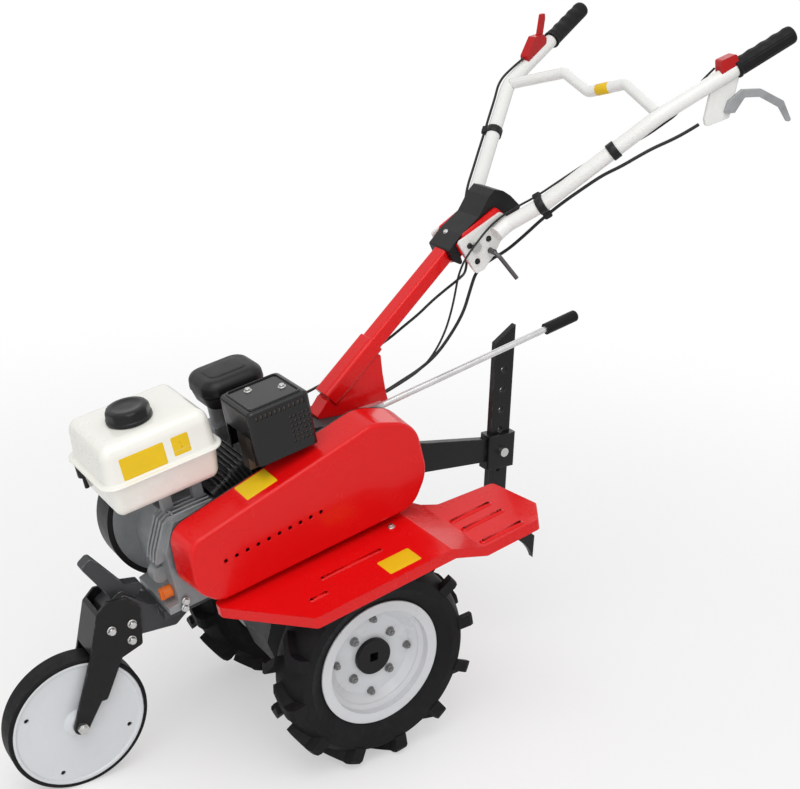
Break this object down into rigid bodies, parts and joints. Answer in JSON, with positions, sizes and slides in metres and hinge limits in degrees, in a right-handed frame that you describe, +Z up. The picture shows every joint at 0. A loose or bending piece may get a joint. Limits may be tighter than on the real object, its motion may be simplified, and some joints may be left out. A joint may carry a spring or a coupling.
{
  "type": "walk-behind two-wheeled tractor",
  "caption": "Walk-behind two-wheeled tractor: petrol engine, belt cover, gearbox, mudguards, drag stake, front transport wheel and a handlebar that swings on its column.",
  "frame": {"origin": "middle of the footprint on the ground: halfway along the length, on the machine's centre plane", "axes": "+X forward towards the front wheel, +Y to the machine's left, +Z up"},
  "size_m": [1.3701, 0.5916, 1.2611],
  "materials": {
    "bed_grey": "dark grey painted casting",
    "black_paint": "gloss black paint",
    "black_plastic": "matte black moulding",
    "bright_steel": "zinc plated steel",
    "cable_black": "black cable sheath",
    "chrome_rod": "chrome plate",
    "crankcase_metal": "bead blasted light alloy casting",
    "cylinder_metal": "dark painted finned casting",
    "fan_black": "black painted pressing",
    "gearbox_grey": "dark grey painted casting",
    "grey_lever": "grey paint",
    "grip_rubber": "matte black rubber",
    "guard_black": "gloss black paint",
    "hub_black": "black paint on steel",
    "muffler_steel": "dull steel",
    "orange_plastic": "orange moulding",
    "red_paint": "gloss red paint",
    "red_plastic": "red moulding",
    "starter_black": "matte black moulding",
    "tank_cream": "gloss cream-white paint",
    "tyre_rubber": "matte black rubber",
    "white_paint": "gloss white paint",
    "white_rim": "gloss white paint"
  },
  "bodies": {
    "chassis": {"air_cleaner": "black_plastic", "belt_cover": "red_paint", "belt_guard_plate": "black_paint", "carburettor": "crankcase_metal", "clutch_cable": "cable_black", "column_cover": "black_plastic", "column_head": "red_paint", "crankcase": "crankcase_metal", "cylinder": "cylinder_metal", "cylinder_head": "cylinder_metal", "drag_stake": "black_paint", "engine_bed": "bed_grey", "fan_housing": "fan_black", "fender_left": "red_paint", "fender_right": "red_paint", "front_axle_bolt": "bright_steel", "front_fork": "black_paint", "fuel_cap": "black_plastic", "fuel_tank": "tank_cream", "gear_lever": "chrome_rod", "gear_lever_grip": "black_plastic", "gearbox": "gearbox_grey", "handle_column": "red_paint", "handle_tower": "red_paint", "hitch_arm": "black_paint", "muffler": "muffler_steel", "muffler_guard": "guard_black", "oil_plug": "orange_plastic", "pivot_bolt": "bright_steel", "recoil_starter": "starter_black", "stake_pin": "bright_steel", "switch_wire": "cable_black", "throttle_cable": "cable_black"},
    "wheels": {"rim_left": "white_rim", "rim_right": "white_rim", "tyre_left": "tyre_rubber", "tyre_right": "tyre_rubber", "wheel_axle": "hub_black"},
    "front_wheel": {"front_disc": "white_rim", "front_tyre": "tyre_rubber"},
    "handlebar": {"clamp_lever": "bright_steel", "clutch_bracket": "white_paint", "clutch_lever": "grey_lever", "crossbar": "white_paint", "engine_switch": "black_plastic", "grip_left": "grip_rubber", "grip_right": "grip_rubber", "handlebar_left": "white_paint", "handlebar_right": "white_paint", "throttle_lever": "red_plastic"}
  },
  "joints": [
    {"name": "drive_wheels_spin", "type": "hinge", "parent": "chassis", "child": "wheels", "pos_m": [0.08762, 0, 0.194], "axis": [0, 1, 0], "continuous": true},
    {"name": "front_wheel_spin", "type": "hinge", "parent": "chassis", "child": "front_wheel", "pos_m": [0.56363, 0, 0.121], "axis": [0, 1, 0], "continuous": true},
    {"name": "handlebar_height", "type": "hinge", "parent": "chassis", "child": "handlebar", "pos_m": [-0.19337, 0, 0.868], "axis": [0, 1, 0], "range_deg": [-25, 10], "deforming": ["clutch_cable", "throttle_cable", "switch_wire"]}
  ]
}
